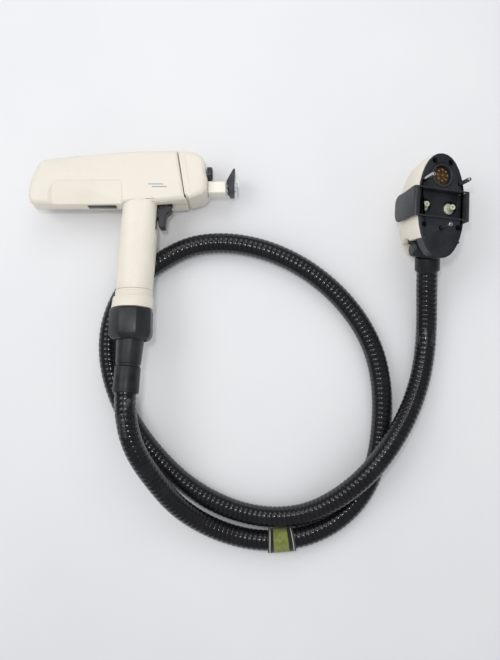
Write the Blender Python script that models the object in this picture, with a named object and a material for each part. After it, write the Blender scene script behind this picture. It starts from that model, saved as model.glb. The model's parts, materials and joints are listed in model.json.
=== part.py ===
"""Pulsed-light hair remover: a pistol-shaped applicator, its umbilical hose and the
oval connector that plugs into the power unit, lying on one side on a table."""

from math import cos, pi, radians, sin

import bmesh
import bpy
import numpy as np
from mathutils import Euler, Matrix, Vector

MM = 0.001
GAP = 0.3  # clearance between touching pieces; every length below is in millimetres

# Applicator, in its own frame: X along the head to the tip, Y up the handle, Z through its width.
HAND_TILT = 9.5
HAND_PLACE = (-0.75, 119.93, -0.93)
HEAD_WIDTH = 40.0
MIDDLE = HEAD_WIDTH / 2
WALL = 2.6
EDGE_ROUND = 6.0
SEAM_TOP = (47.0, 0.4)
SEAM_FOOT = (56.0, -53.2)
SEAM_GAP = 2.2
LIP_DEPTH = 1.0
LIP_TOP = (47.55, -0.7)
LIP_FOOT = (56.15, -52.0)
# section of the head's far lower edge, which falls away towards the table: height and width
BELLY = ((-59.4, 24.0), (-57.2, 18.0), (-54.4, 11.5), (-50.6, 5.5), (-46.0, 0.5), (-44.0, -1.5))
BELLY_LENGTH = (-118.3, -8.0)
LIP_ROUND = 3.5
OPTIC_AXIS = -36.4
NOZZLE_SIZE = (12.4, 16.4)
GUIDE_SIZE = (9.6, 13.4)
GUIDE_TIP = 108.3
SHIELD_HALF = 11.0
KNOB_CENTRE = (76.3, -18.7)
KNOB_RADIUS = 7.4
TRIGGER_PIVOT = (34.0, -51.6)
TRIGGER_WIDTH = 12.0
# place along the handle, centre in X, half its width, half its depth and how square its section is
HANDLE_RINGS = (
    (-46, 7.6, 17.2, 19.6, 3.4), (-56, 7.2, 17.9, 19.3, 3.2), (-68, 6.3, 18.5, 18.4, 2.8),
    (-88, 5.2, 19.0, 17.5, 2.4), (-112, 4.0, 19.3, 17.0, 2.2), (-136, 2.8, 19.0, 17.0, 2.1),
    (-146, 2.6, 18.8, 17.0, 2.0),
)
ROOM_TOP = (-38, 7.6, 17.2, 19.6, 3.4)
ROOM_FOOT = (-150, 2.6, 18.8, 17.0, 2.0)
GRIP_X = 2.6
COLLAR_TOP = -146.4
COLLAR_FOOT = -165.2
GLAND_X = 1.0
GLAND_LEAN = -3.4
GLAND_MIDDLE = -183.0
NUT_FLATS = 42.0
NUT_TURN = -1.0
NUT_TOP = -165.6
NUT_FOOT = -197.5
GLAND_BORE = 10.6
BOSS_PLACES = ((-97.0, -34.0), (-58.0, -10.6), (-4.0, -29.5), (38.0, -10.0))

# Hose route on the table, from the applicator to the connector.
HOSE_RADIUS = 10.9
HOSE_STEP = 21.1
HOSE_ROUTE = (
    (-2.4, -101, 56.1), (-3.8, -124, 59.8), (-2.2, -153, 61.3), (5.4, -182, 57), (22, -213, 46.5),
    (44, -244, 32),
    (73, -268, 19.5), (110, -284, 12.8), (151, -287.5, 13.4), (186, -281, 11.9), (215, -266, 11.1),
    (238, -243, 11.1), (254, -212, 11.1), (262, -172, 11.1), (263, -127, 11.1), (253, -80, 11.1),
    (226, -35, 11.1), (185, 2, 11.1), (138, 25, 11.1), (92, 33, 11.1), (53, 27.5, 11.1), (23, 12, 11.1),
    (-4, -8, 11.1), (-22, -34, 11.1), (-31, -66, 11.1), (-30, -101, 11.1), (-21, -133, 11.1),
    (-6, -163, 11.1), (16, -193, 11.1), (46, -223, 11.1), (88, -249, 11.1), (135, -262, 11.5),
    (180, -257.5, 16), (217, -236, 27), (248, -206, 34.6), (274, -172, 31), (294, -138, 20.5),
    (306, -103, 13.5), (310.5, -68, 12.5), (310, -39, 17), (308, -18, 24), (306.8, -2, 29.5),
    (306, 11, 33.5),
)
STRAP_INDEX = 13
STRAP_WIDTH = 28.0

# Connector, in its own frame: Y along the oval, Z out of its face.
PLUG_PLACE = (310.95, 62.8, 66.0)
PLUG_TURN = (-4.4, 13.6, -4.0)
FACE_HALF = (25.4, 53.0)
FACE_DEPTH = 14.0
PLATE = 2.6
STEP_IN = 0.9
POCKET = (23.6, -11.8, 15.0, 9.0)
WINDOW_MARGIN = 2.2
NIPPLE_PLACES = ((-14.4, 0.6), (14.4, 0.6))
PIN_PLACES = ((-19.6, 23.8), (19.6, 23.8), (0.0, -23.0))
SCREW_PLACES = ((-8.9, 44.2), (8.9, 44.2), (-18.4, -21.0), (18.4, -21.0))
SOCKET_Y = 30.5
WING_REACH = 30.6
WING_DEPTH = 40.0
SLEEVE_RADIUS = 12.8
SLEEVE_LENGTH = 14.4
SLEEVE_END = 4.6
SHELL_NOTCH = ((270, -10), (335, -10), (335, 27), (270, 17))  # seen from above, on the table's axes

CREAM = (0.86, 0.82, 0.72)
MATERIALS = {
    "housing_cream": (CREAM, 0.42, 0.0),
    "nozzle_cream": ((0.83, 0.78, 0.67), 0.45, 0.0),
    "black_plastic": ((0.03, 0.03, 0.033), 0.38, 0.0),
    "soft_black": ((0.018, 0.018, 0.02), 0.62, 0.0),
    "hose_black": ((0.014, 0.015, 0.018), 0.5, 0.0),
    "steel": ((0.62, 0.62, 0.64), 0.28, 1.0),
    "brass": ((0.55, 0.36, 0.14), 0.35, 1.0),
    "glass": ((0.86, 0.92, 0.95), 0.05, 0.0),
    "ceramic": ((0.8, 0.8, 0.78), 0.6, 0.0),
    "circuit_green": ((0.02, 0.14, 0.07), 0.5, 0.0),
    "clear_tube": ((0.7, 0.75, 0.78), 0.2, 0.0),
    "strap_green": ((0.24, 0.27, 0.05), 0.8, 0.0),
    "face_black": ((0.02, 0.023, 0.028), 0.42, 0.0),
    "bracket_black": ((0.07, 0.075, 0.08), 0.4, 0.6),
    "nipple_white": ((0.62, 0.64, 0.48), 0.35, 0.0),
    "contact_brown": ((0.17, 0.08, 0.03), 0.45, 0.2),
}


# ---- building blocks -------------------------------------------------------

def clear_scene():
    for obj in list(bpy.data.objects):
        bpy.data.objects.remove(obj, do_unlink=True)


def make_materials():
    for name, (colour, roughness, metallic) in MATERIALS.items():
        material = bpy.data.materials.new(name)
        material.use_nodes = True
        shader = material.node_tree.nodes["Principled BSDF"]
        shader.inputs["Base Color"].default_value = (*colour, 1.0)
        shader.inputs["Roughness"].default_value = roughness
        shader.inputs["Metallic"].default_value = metallic


def empty(name, place, turn=(0, 0, 0), parent=None):
    """A frame that pieces hang on; place in millimetres, turn in degrees."""
    obj = bpy.data.objects.new(name, None)
    bpy.context.scene.collection.objects.link(obj)
    obj.location = Vector(place) * MM
    obj.rotation_euler = [radians(angle) for angle in turn]
    obj.parent = parent
    return obj


def add_object(name, bm, material, parent):
    """Turns a bmesh in millimetres into an object on parent; material None makes it a cutter."""
    bmesh.ops.recalc_face_normals(bm, faces=bm.faces)
    bmesh.ops.scale(bm, vec=(MM, MM, MM), verts=bm.verts)
    mesh = bpy.data.meshes.new(name)
    bm.to_mesh(mesh)
    bm.free()
    obj = bpy.data.objects.new(name, mesh)
    bpy.context.scene.collection.objects.link(obj)
    obj.parent = parent
    if material is None:
        obj.hide_render = True
        obj.display_type = "WIRE"
    else:
        mesh.materials.append(bpy.data.materials[material])
        mesh.shade_smooth()
        mesh.set_sharp_from_angle(angle=radians(35))
    return obj


def boolean(target, other, operation):
    modifier = target.modifiers.new(f"{operation.lower()}_{other.name}"[:60], "BOOLEAN")
    modifier.operation = operation
    modifier.object = other
    return target


def turn_to(axis):
    """The rotation that takes +Z to the named axis."""
    return {
        "Z": Matrix.Identity(4),
        "X": Matrix.Rotation(pi / 2, 4, "Y"),
        "Y": Matrix.Rotation(-pi / 2, 4, "X"),
    }[axis]


def bm_prism(outline, low, high, edge=0.0, steps=2, axis="Z"):
    """An outline in the plane across axis, extruded from low to high with rounded rims.

    For axis Z the outline is (x, y), for X it is (y, z) and for Y it is (x, z)."""
    bm = bmesh.new()
    bottom = [bm.verts.new((x, y, low)) for x, y in outline]
    top = [bm.verts.new((x, y, high)) for x, y in outline]
    faces = [bm.faces.new(bottom), bm.faces.new(top)]
    for i in range(len(outline)):
        j = (i + 1) % len(outline)
        bm.faces.new((bottom[i], bottom[j], top[j], top[i]))
    if edge:
        bmesh.ops.recalc_face_normals(bm, faces=bm.faces)
        rims = [e for face in faces for e in face.edges]
        bmesh.ops.bevel(bm, geom=rims, offset=edge, segments=steps, profile=0.5, affect="EDGES")
    if axis == "X":
        bm.transform(Matrix(((0, 0, 1, 0), (1, 0, 0, 0), (0, 1, 0, 0), (0, 0, 0, 1))))
    if axis == "Y":
        bm.transform(Matrix(((1, 0, 0, 0), (0, 0, 1, 0), (0, 1, 0, 0), (0, 0, 0, 1))))
    return bm


def bm_loft(rings):
    """A closed skin over rings of points, capped at both ends."""
    bm = bmesh.new()
    loops = [[bm.verts.new(point) for point in ring] for ring in rings]
    for lower, upper in zip(loops, loops[1:]):
        for i in range(len(lower)):
            j = (i + 1) % len(lower)
            bm.faces.new((lower[i], lower[j], upper[j], upper[i]))
    bm.faces.new(loops[0])
    bm.faces.new(loops[-1])
    return bm


def bm_turned(profile, centre, axis="Z", sides=24, closed=False):
    """A profile of (radius, height) pairs turned about axis through centre.

    An open profile starts and ends on the axis; a closed one makes a ring."""
    bm = bmesh.new()
    loops = []
    for radius, height in profile:
        if radius == 0:
            loops.append([bm.verts.new((0, 0, height))])
            continue
        angles = (2 * pi * i / sides for i in range(sides))
        loops.append([bm.verts.new((radius * cos(a), radius * sin(a), height)) for a in angles])
    pairs = list(zip(loops, loops[1:]))
    if closed:
        pairs.append((loops[-1], loops[0]))
    for lower, upper in pairs:
        for i in range(sides):
            j = (i + 1) % sides
            a, b = lower[i % len(lower)], lower[j % len(lower)]
            c, d = upper[j % len(upper)], upper[i % len(upper)]
            bm.faces.new([v for k, v in enumerate((a, b, c, d)) if v not in (a, b, c, d)[:k]])
    bm.transform(Matrix.Translation(centre) @ turn_to(axis))
    return bm


def bm_box(low, high, edge=0.0, steps=2):
    outline = ((low[0], low[1]), (high[0], low[1]), (high[0], high[1]), (low[0], high[1]))
    bm = bm_prism(outline, low[2], high[2])
    if edge:
        bmesh.ops.recalc_face_normals(bm, faces=bm.faces)
        bmesh.ops.bevel(bm, geom=bm.edges[:], offset=edge, segments=steps, profile=0.5, affect="EDGES")
    return bm


def bm_cylinders(places, radius, low, high, sides=16):
    """Separate upright cylinders in one mesh, for a cutter or a set of bosses."""
    bm = bmesh.new()
    for x, y in places:
        place = Matrix.Translation((x, y, (low + high) / 2))
        bmesh.ops.create_cone(bm, cap_ends=True, segments=sides, radius1=radius, radius2=radius,
                              depth=high - low, matrix=place)
    return bm


def tube(name, points, radius, material, parent, resolution=2):
    """A round solid along points in millimetres."""
    curve = bpy.data.curves.new(name, "CURVE")
    curve.dimensions = "3D"
    curve.bevel_depth = radius * MM
    curve.bevel_resolution = resolution
    curve.use_fill_caps = True
    spline = curve.splines.new("POLY")
    spline.points.add(len(points) - 1)
    for point, place in zip(spline.points, points):
        point.co = (*(Vector(place) * MM), 1.0)
    curve.materials.append(bpy.data.materials[material])
    obj = bpy.data.objects.new(name, curve)
    bpy.context.scene.collection.objects.link(obj)
    obj.parent = parent
    return obj


def arc(centre, radius, start, end, steps):
    """Points along a circular arc, angles in degrees."""
    angles = [radians(start + (end - start) * i / steps) for i in range(steps + 1)]
    return [(centre[0] + radius * cos(a), centre[1] + radius * sin(a)) for a in angles]


def inset(outline, amount):
    """The outline moved inwards by amount; it runs anticlockwise."""
    moved = []
    for i, point in enumerate(outline):
        before = Vector(point) - Vector(outline[i - 1])
        after = Vector(outline[(i + 1) % len(outline)]) - Vector(point)
        first = Vector((-before.y, before.x)).normalized()
        second = Vector((-after.y, after.x)).normalized()
        middle = (first + second).normalized()
        moved.append(tuple(Vector(point) + middle * amount / middle.dot(first)))
    return moved


def smooth_route(points, step):
    """Evenly spaced points on the natural cubic spline through the given ones."""
    points = np.array(points, float)
    lengths = np.linalg.norm(np.diff(points, axis=0), axis=1)
    along = np.concatenate([[0.0], np.cumsum(lengths)])
    count = len(points)
    system = np.eye(count)
    right = np.zeros((count, 3))
    for i in range(1, count - 1):
        system[i, i - 1:i + 2] = (lengths[i - 1], 2 * (lengths[i - 1] + lengths[i]), lengths[i])
        slopes = (points[i + 1] - points[i]) / lengths[i] - (points[i] - points[i - 1]) / lengths[i - 1]
        right[i] = 6 * slopes
    bend = np.linalg.solve(system, right)
    result = []
    for place in np.linspace(0, along[-1], round(along[-1] / step) + 1):
        i = min(max(int(np.searchsorted(along, place)) - 1, 0), count - 2)
        before = (along[i + 1] - place) / lengths[i]
        after = (place - along[i]) / lengths[i]
        curl = (before ** 3 - before) * bend[i] + (after ** 3 - after) * bend[i + 1]
        result.append(before * points[i] + after * points[i + 1] + curl * lengths[i] ** 2 / 6)
    return result


def oval(half_x, half_y, sides=32, power=2.15):
    """A slightly squared ellipse, anticlockwise."""
    points = []
    for i in range(sides):
        c, s = cos(2 * pi * i / sides), sin(2 * pi * i / sides)
        points.append((
            half_x * np.sign(c) * abs(c) ** (2 / power),
            half_y * np.sign(s) * abs(s) ** (2 / power),
        ))
    return points


# ---- applicator housing ----------------------------------------------------

def head_outline():
    """Side view of the head behind the seam, anticlockwise."""
    rear = [(-93, -10.0), (-97, -13.2), (-101, -22), (-104.6, -32), (-106.6, -42), (-106.8, -50)]
    rear += [(-104.6, -55.8), (-99, -58.8)]
    foot = [(-50, -58.6), (-10, -58.0), (25, -56.0), SEAM_FOOT]
    top = [SEAM_TOP, (9, -0.5), (-22, -2.3), (-55, -5.5), (-80, -8.4)]
    return rear + foot + top


def nose_outline():
    """Side view of the nose cover ahead of the seam, anticlockwise."""
    foot = [(SEAM_FOOT[0] + SEAM_GAP, -52.3), (72.4, -48.3), (77.3, -42.8)]
    front = [(77.3, -30.0), (75.5, -24.5), (75.3, -13.6), (72.0, -6.4), (65.4, -1.7)]
    return foot + front + [(SEAM_TOP[0] + SEAM_GAP, SEAM_TOP[1] - 0.1)]


def handle_rings(wall=0.0, rings=HANDLE_RINGS):
    made = []
    for y, centre, half, depth, square in rings:
        section = oval(half - wall, depth - wall, 28, square)
        made.append([(centre + x, y, MIDDLE + z) for x, z in section])
    return made


def scoop_cutter(name, side, hand):
    """The shallow finger relief low on the rear of the head; side is +1 near, -1 far."""
    surface = MIDDLE + side * MIDDLE
    edge, slope, least = -33, 0.165, 0.12
    rim = [(-79, edge), (-85, -38.5), (-87.6, -46), (-87, -54), (-83.5, -66)]
    rim += [(-6, -66), (-7.5, -50), (-8.5, edge)]
    floor = [(-77, -34), (-81, -39.5), (-82.6, -46.5), (-81.6, -54), (-77.6, -66)]
    floor += [(-10.5, -66), (-11, -50), (-11, -34)]
    outer = [(x, y, surface + side * 1.5) for x, y in rim]
    inner = [(x, y, surface - side * (least - (y - edge) * slope)) for x, y in floor]
    return add_object(name, bm_loft([outer, inner]), None, hand)


def belly_cutter(name, wall, hand):
    """What is taken off the head's far lower edge, or off the room behind it with a wall left."""
    curve = [(y + wall, z + wall * 0.6) for y, z in BELLY]
    outline = [*curve, (curve[-1][0], -30), (-90, -30), (-90, curve[0][1])]
    return add_object(name, bm_prism(outline, *BELLY_LENGTH, axis="X"), None, hand)


def make_housing(hand):
    """Two moulded shells that meet on the middle plane and carry everything else."""
    handle = add_object("handle_core", bm_loft(handle_rings()), None, hand)
    handle_room = bm_loft(handle_rings(WALL, (ROOM_TOP, *HANDLE_RINGS[1:-1], ROOM_FOOT)))
    handle_room = add_object("handle_room", handle_room, None, hand)
    outline, through, side_wall = inset(head_outline(), WALL), 12, 8.4
    first = head_outline().index(SEAM_FOOT)
    outline[first:first + 2] = [(x + through, y) for x, y in outline[first:first + 2]]
    low_room = add_object("low_room", bm_prism(outline, side_wall, HEAD_WIDTH - side_wall), None, hand)
    boolean(low_room, belly_cutter("belly_room", WALL, hand), "DIFFERENCE")
    belly = belly_cutter("belly", 0.0, hand)
    upper = [(-94, -13.5), (-98.5, -31), (-6, -31), (-4, -55.2), (25, -53.3), (66, -50.3), (60, -2.4)]
    upper += [(9, -3.1), (-22, -4.9), (-55, -8.1), (-80, -11.0)]
    high_room = add_object("high_room", bm_prism(upper, WALL, HEAD_WIDTH - WALL), None, hand)
    columns = add_object("columns", bm_cylinders(BOSS_PLACES, 4.2, 1.4, HEAD_WIDTH - 1.4), None, hand)
    near_lug = add_object("near_lug", bm_cylinders((TRIGGER_PIVOT,), 3.2, 27.4, 35.5), None, hand)
    far_lug = add_object("far_lug", bm_cylinders((TRIGGER_PIVOT,), 3.2, 4.5, 12.6), None, hand)
    drilled = add_object("drilled", bm_cylinders(BOSS_PLACES, 1.7, -1, 33), None, hand)
    sunk = add_object("sunk", bm_cylinders(BOSS_PLACES, 3.5, -1, 3.2), None, hand)
    pin_hole = add_object("pin_hole", bm_cylinders((TRIGGER_PIVOT,), 1.8, 7.7, 32.3), None, hand)
    slot = ((19.2, -82), (40.4, -82), (40.4, -55.0), (37.9, -49.3), (24.4, -49.3), (19.2, -60.0))
    slot = add_object("trigger_slot", bm_prism(slot, 13.2, 26.8), None, hand)
    scoops = [scoop_cutter("near_scoop", 1, hand), scoop_cutter("far_scoop", -1, hand)]
    limits = (-130, -170, 80, 20)
    halves = {
        "body_half_near": ((limits[0], limits[1], MIDDLE + GAP / 2), (limits[2], limits[3], 50), near_lug),
        "body_half_far": ((limits[0], limits[1], -10), (limits[2], limits[3], MIDDLE - GAP / 2), far_lug),
    }
    for name, (low, high, lug) in halves.items():
        shell = bm_prism(head_outline(), 0, HEAD_WIDTH, EDGE_ROUND, 3)
        shell = add_object(name, shell, "housing_cream", hand)
        boolean(shell, belly, "DIFFERENCE")
        boolean(shell, handle, "UNION")
        for cutter in (*scoops, low_room, high_room, handle_room):
            boolean(shell, cutter, "DIFFERENCE")
        boolean(shell, columns, "UNION")
        boolean(shell, lug, "UNION")
        for cutter in (drilled, sunk, pin_hole, slot):
            boolean(shell, cutter, "DIFFERENCE")
        boolean(shell, add_object(f"{name}_side", bm_box(low, high), None, hand), "INTERSECT")


def make_nose(hand):
    """Front cover; its lip reaches back to the seam as the floor of the groove."""
    cover = bm_prism(nose_outline(), 0, HEAD_WIDTH, EDGE_ROUND, 3)
    cover = add_object("nose_cover", cover, "housing_cream", hand)
    reach = 5.0
    lip = [(LIP_FOOT[0] - reach, LIP_FOOT[1]), (62, -50.0), (62, -2.4), (LIP_TOP[0] - reach, LIP_TOP[1])]
    lip = bm_prism(lip, LIP_DEPTH, HEAD_WIDTH - LIP_DEPTH, LIP_ROUND, 2)
    boolean(cover, add_object("seam_lip", lip, None, hand), "UNION")
    top, foot = Vector(LIP_TOP), Vector(LIP_FOOT)
    high, low = top.lerp(foot, -0.1), top.lerp(foot, 1.1)
    behind = bm_prism([(30, low.y), tuple(low), tuple(high), (30, high.y)], -5, HEAD_WIDTH + 5)
    boolean(cover, add_object("behind_seam", behind, None, hand), "DIFFERENCE")
    room = [(44, -49.8), (57, -49.2), (71.2, -45.3), (74.6, -41.6), (74.6, -30.6), (72.7, -25.0)]
    room += [(72.6, -14.6), (70.0, -8.6), (64.6, -4.8), (44, -3.0)]
    room = add_object("nose_room", bm_prism(room, WALL, HEAD_WIDTH - WALL), None, hand)
    boolean(cover, room, "DIFFERENCE")
    half_y, half_z = GUIDE_SIZE[0] / 2 + 0.5, GUIDE_SIZE[1] / 2 + 0.5
    low, high = (70, OPTIC_AXIS - half_y, MIDDLE - half_z), (80, OPTIC_AXIS + half_y, MIDDLE + half_z)
    window = bm_box(low, high)
    boolean(cover, add_object("nose_window", window, None, hand), "DIFFERENCE")
    shaft = bm_turned([(0, 0), (2.9, 0), (2.9, 12), (0, 12)], (68, KNOB_CENTRE[1], MIDDLE), "X", 16)
    boolean(cover, add_object("shaft_hole", shaft, None, hand), "DIFFERENCE")


def make_nozzle(hand):
    """Square cream snout, black tip shield and the glass light guide inside them."""
    y, z = NOZZLE_SIZE[0] / 2, NOZZLE_SIZE[1] / 2
    snout = bm_box((77.6, OPTIC_AXIS - y, MIDDLE - z), (96.2, OPTIC_AXIS + y, MIDDLE + z), 0.9)
    snout = add_object("nozzle", snout, "nozzle_cream", hand)
    y, z = GUIDE_SIZE[0] / 2, GUIDE_SIZE[1] / 2
    low, high = (60, OPTIC_AXIS - y - GAP, MIDDLE - z - GAP), (120, OPTIC_AXIS + y + GAP, MIDDLE + z + GAP)
    bore = add_object("guide_bore", bm_box(low, high), None, hand)
    boolean(snout, bore, "DIFFERENCE")
    shield = [(100.3, -41.8), (105.0, -41.8), (105.0, -35.0), (105.3, -25.0), (105.9, -17.0), (104.1, -17.0)]
    shield += [(101.0, -22.6), (96.8, -30.9), (97.0, -32.6), (98.6, -36.5)]
    shield = bm_prism(shield, MIDDLE - SHIELD_HALF, MIDDLE + SHIELD_HALF, 0.6, 1)
    shield = add_object("guide_flare", shield, "black_plastic", hand)
    boolean(shield, bore, "DIFFERENCE")
    glass = bm_box((43.5, OPTIC_AXIS - y, MIDDLE - z), (GUIDE_TIP, OPTIC_AXIS + y, MIDDLE + z), 0.4, 1)
    add_object("light_guide", glass, "glass", hand)


def make_knob(hand):
    """Quarter-turn lock knob on the nose; its own frame sits on the turning axis."""
    axis = empty("knob_axis", (KNOB_CENTRE[0], KNOB_CENTRE[1], MIDDLE), parent=hand)
    cap = [(0, 0), (7.1, 0), (KNOB_RADIUS, 0.5), (KNOB_RADIUS, 4.2), (6.2, 5.5), (0, 5.5)]
    knob = add_object("lock_knob", bm_turned(cap, (0, 0, 0), "X", 32), "black_plastic", axis)
    bore = bm_turned([(0, -1), (2.7, -1), (2.7, 3.6), (0, 3.6)], (0, 0, 0), "X", 16)
    boolean(knob, add_object("knob_bore", bore, None, axis), "DIFFERENCE")
    shaft = [(0, -10.5), (6.0, -10.5), (6.0, -8.6), (2.4, -8.6), (2.4, 3.3), (0, 3.3)]
    add_object("knob_shaft", bm_turned(shaft, (0, 0, 0), "X", 16), "steel", axis)


# ---- trigger ---------------------------------------------------------------

def trigger_outline():
    """Side view of the lever about its pivot: hub, front lug and a hollowed finger blade."""
    hub = arc((0, 0), 3.0, -20, 150, 8)
    rear = [(-5.2, -2.0), (-7.7, -4.8), (-7.7, -10.8), (-11.6, -11.2), (-11.6, -17.2), (-7.7, -17.8)]
    tail = [(-7.6, -25.8), (-6.2, -28.2), (-2.2, -28.2), (-1.0, -27.0)]
    blade = [(0.1, -16.0), (1.0, -13.4), (3.4, -11.5), (5.2, -9.4), (5.7, -6.6), (4.6, -4.2)]
    return hub + rear + tail + blade


def make_trigger(hand):
    pivot = empty("trigger_axis", (*TRIGGER_PIVOT, MIDDLE), parent=hand)
    half = TRIGGER_WIDTH / 2
    lever = add_object("trigger", bm_prism(trigger_outline(), -half, half, 0.8, 1), "black_plastic", pivot)
    bore = add_object("trigger_bore", bm_cylinders(((0, 0),), 1.85, -9, 9), None, pivot)
    boolean(lever, bore, "DIFFERENCE")
    notch = bm_box((-4.6, -4.2, 1.4), (4.6, 4.2, 9))
    boolean(lever, add_object("spring_notch", notch, None, pivot), "DIFFERENCE")
    pin = [(0, 8), (1.1, 8), (1.5, 8.4), (1.5, 31.6), (1.1, 32), (0, 32)]
    add_object("trigger_pin", bm_turned(pin, (*TRIGGER_PIVOT, 0), "Z", 16), "steel", hand)
    turns, steps, coil, low, height = 2.6, 14, 3.1, 2.2, 3.0
    points = [(-6.0, 3.4, low)]
    for i in range(round(turns * steps) + 1):
        angle = 2 * pi * i / steps + radians(120)
        points.append((coil * cos(angle), coil * sin(angle), low + height * i / (turns * steps)))
    wire = tube("trigger_spring", points, 0.35, "steel", hand, 1)
    wire.location = Vector((*TRIGGER_PIVOT, MIDDLE)) * MM


def make_switch(hand):
    """Microswitch in the top of the handle and the plunger that the trigger pushes."""
    y = -66.0
    body = bm_box((5.5, y - 5, MIDDLE - 5), (18.4, y + 5, MIDDLE + 5), 0.5, 1)
    body = add_object("microswitch", body, "soft_black", hand)
    bore = bm_turned([(0, 0), (1.6, 0), (1.6, 9), (0, 9)], (11, y, MIDDLE), "X", 12)
    boolean(body, add_object("plunger_bore", bore, None, hand), "DIFFERENCE")
    slide = empty("plunger_axis", (21.7, y, MIDDLE), parent=hand)
    plunger = bm_turned([(0, -7.2), (1.2, -7.2), (1.2, -0.5), (0.8, 0), (0, 0)], (0, 0, 0), "X", 12)
    add_object("switch_plunger", plunger, "nipple_white", slide)


# ---- light engine inside the head ------------------------------------------

def optic_slab(low, high, margin, edge=0.0):
    """A slab across the light path from low to high, this much wider than the filter glass."""
    y, z = 9.6 + margin, 9.4 + margin
    return bm_box((low, OPTIC_AXIS - y, MIDDLE - z), (high, OPTIC_AXIS + y, MIDDLE + z), edge, 1)


def make_light_engine(hand):
    """Flash lamp in its cooling tube, the reflector behind it and the filter in front."""
    centre = (26.0, OPTIC_AXIS)
    trough = [(15, -45.2), (36.5, -45.2), (36.5, -43.6)] + arc(centre, 7.3, -70, -290, 12)
    trough += [(36.5, -29.2), (36.5, -27.6), (15, -27.6)]
    add_object("reflector", bm_prism(trough, 8.6, 31.4), "steel", hand)
    flow = [(6.6, 8.8), (6.6, 31.2), (5.3, 31.2), (5.3, 8.8)]
    add_object("flow_tube", bm_turned(flow, (*centre, 0), "Z", 20, closed=True), "glass", hand)
    bulb = [(0, 4.2), (1.6, 4.2), (1.6, 8.4), (3.6, 10), (3.6, 30), (1.6, 31.6), (1.6, 35.8), (0, 35.8)]
    add_object("flash_lamp", bm_turned(bulb, (*centre, 0), "Z", 16), "glass", hand)
    for name, low, high in (("lamp_cap_far", 3.2, 8.2), ("lamp_cap_near", 31.8, 36.8)):
        ring = [(2.1, low), (7.4, low), (7.4, high), (2.1, high)]
        add_object(name, bm_turned(ring, (*centre, 0), "Z", 16, closed=True), "ceramic", hand)
    chassis = [(9, -47.3), (37.5, -47.3), (37.5, -45.6), (11, -45.6), (11, -27.2), (37.5, -27.2)]
    chassis += [(37.5, -25.5), (9, -25.5)]
    add_object("lamp_chassis", bm_prism(chassis, 9, 31), "bracket_black", hand)
    frame = add_object("filter_frame", optic_slab(38.2, 42.6, 2.0, 0.5), "black_plastic", hand)
    boolean(frame, add_object("filter_window", optic_slab(37, 44, 0.0), None, hand), "DIFFERENCE")
    add_object("filter_glass", optic_slab(39.2, 41.4, -GAP), "contact_brown", hand)


def make_electronics(hand):
    """Board, coil, lamp lead and the two water tubes that run down the handle."""
    board = bm_box((-88, -29.5, 14), (-30, -15.5, 15.6))
    add_object("control_board", board, "circuit_green", hand)
    coil = [(0, 0), (8.2, 0), (9, 0.8), (9, 20.4), (8.2, 21.2), (0, 21.2)]
    coil = bm_turned(coil, (-82, -42.0, MIDDLE), "X", 20)
    add_object("ignition_coil", coil, "contact_brown", hand)
    route = [(x, y, MIDDLE) for x, y in ((-60, -42), (-40, -40.5), (-20, -39), (-4, -38), (8.2, -36.4))]
    tube("lamp_lead", smooth_route(route, 6.0), 2.6, "soft_black", hand)
    path = ((4.6, -34), (1.5, -44), (1.2, -60), (0.8, -85), (0.6, -115), (0.8, -150), (1.0, -186))
    for name, z in (("water_tube_in", MIDDLE - 6.4), ("water_tube_out", MIDDLE + 6.4)):
        tube(name, smooth_route([(x, y, z) for x, y in path], 8.0), 2.9, "clear_tube", hand)


def make_screws(hand):
    """Slotted screws that hold the two shells together, sunk in the far one."""
    for number, place in enumerate(BOSS_PLACES, 1):
        profile = [(0, 0.4), (2.4, 0.4), (3.0, 1.0), (3.0, 2.8), (1.35, 2.8), (1.35, 30), (0, 30.8)]
        screw = add_object(f"body_screw_{number}", bm_turned(profile, (*place, 0), "Z", 14), "steel", hand)
        slot = bm_box((place[0] - 4, place[1] - 0.45, -1), (place[0] + 4, place[1] + 0.45, 1.2))
        boolean(screw, add_object(f"screw_slot_{number}", slot, None, hand), "DIFFERENCE")


def make_label(hand):
    """Blank rating plate low on the rear of the head, on the face that looks down the handle."""
    add_object("rating_label", bm_box((-46, -59.35, 25.6), (-17, -58.75, 32.6)), "soft_black", hand)


# ---- gland at the foot of the handle ---------------------------------------

def make_collar(hand):
    """Cream collar that caps the handle: fine ridges, then a flare onto the nut."""
    sides = 28
    shape = [(COLLAR_TOP, 18.9, 17.2)]
    for ridge in range(2):
        y = COLLAR_TOP - 0.8 - 2.4 * ridge
        shape += [(y, 19.0, 17.3), (y - 0.9, 19.35, 17.6), (y - 1.6, 18.8, 17.1)]
    shape += [(-152.4, 19.0, 17.3), (-153.6, 20.4, 19.4), (-155.0, 20.9, 20.4)]
    shape += [(-163.0, 21.0, 21.0), (-164.2, 21.4, 21.4), (COLLAR_FOOT, 21.1, 21.1)]
    angles = [2 * pi * i / sides for i in range(sides)]
    rings = []
    for y, wide, deep in shape:
        centre = GRIP_X + (GLAND_X - GRIP_X) * (y - COLLAR_TOP) / (COLLAR_FOOT - COLLAR_TOP)
        rings.append([(centre + wide * cos(a), y, MIDDLE + deep * sin(a)) for a in angles])
    collar = add_object("grip_collar", bm_loft(rings), "housing_cream", hand)
    centre = ((GRIP_X + GLAND_X) / 2, -170, MIDDLE)
    bore = bm_turned([(0, 0), (14.2, 0), (14.2, 30), (0, 30)], centre, "Y", 24)
    boolean(collar, add_object("collar_bore", bore, None, hand), "DIFFERENCE")


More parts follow.
